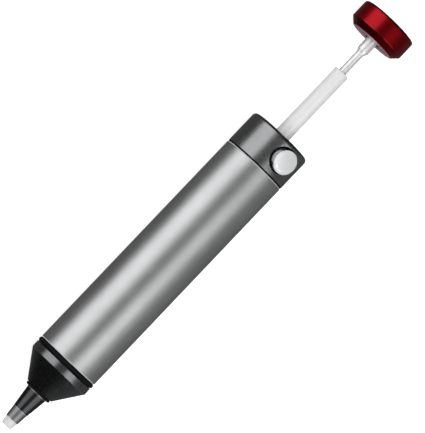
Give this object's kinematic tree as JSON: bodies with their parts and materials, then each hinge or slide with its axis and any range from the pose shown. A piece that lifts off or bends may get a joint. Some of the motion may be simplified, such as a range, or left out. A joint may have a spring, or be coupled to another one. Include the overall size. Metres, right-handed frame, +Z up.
{
  "type": "desoldering pump",
  "caption": "Slim metal desoldering pump: conical nose with a tapered nozzle, tube barrel, end cap with a side release button, sprung piston and a push knob on a rod.",
  "frame": {"origin": "under the middle of the pump's length, on the surface that the pump lies on", "axes": "+X along the pump's axis from the nozzle to the knob, +Z up through the release button, +Y across; the pump's axis is 12.7 mm above the origin"},
  "size_m": [0.195, 0.0254, 0.0279],
  "materials": {
    "ptfe_white": "matte",
    "ferrule_grey": "satin",
    "holder_dark": "satin",
    "rubber_black": "matte",
    "nose_black": "satin anodised",
    "barrel_aluminium": "satin anodised",
    "cap_gunmetal": "satin anodised",
    "bush_brass": "turned",
    "button_bright": "polished",
    "spring_steel": "drawn wire",
    "piston_black": "turned acetal",
    "rod_white": "semi-gloss",
    "steel_bright": "polished",
    "knob_red": "red anodised"
  },
  "bodies": {
    "housing": {"nozzle_tip": "ptfe_white", "tip_ferrule": "ferrule_grey", "nozzle_holder": "holder_dark", "nozzle_o_ring": "rubber_black", "nose_cone": "nose_black", "nose_o_ring": "rubber_black", "barrel": "barrel_aluminium", "cap_gasket": "rubber_black", "end_cap": "cap_gunmetal", "rod_bush": "bush_brass", "rear_bumper": "rubber_black", "button_spring": "spring_steel", "main_spring": "spring_steel"},
    "piston": {"piston": "piston_black", "piston_seal_front": "rubber_black", "piston_seal_rear": "rubber_black"},
    "plunger": {"plunger_rod": "rod_white", "plunger_core": "steel_bright", "piston_washers": "steel_bright", "rod_nut": "steel_bright", "cleaning_pin": "steel_bright", "knob": "knob_red", "knob_screw": "steel_bright"},
    "button": {"release_button": "button_bright"}
  },
  "joints": [
    {"name": "plunger_slide", "type": "slide", "parent": "housing", "child": "piston", "axis": [-1, 0, 0], "range_m": [0, 0.043], "stiffness_N_per_m": 600, "springref_m": -0.0133, "deforming": ["main_spring"]},
    {"name": "plunger_turn", "type": "hinge", "parent": "piston", "child": "plunger", "pos_m": [0.05, 0, 0.0127], "axis": [1, 0, 0], "continuous": true},
    {"name": "button_press", "type": "slide", "parent": "housing", "child": "button", "axis": [0, 0, -1], "range_m": [0, 0.0012], "stiffness_N_per_m": 800, "springref_m": -0.002, "deforming": ["button_spring"]}
  ]
}
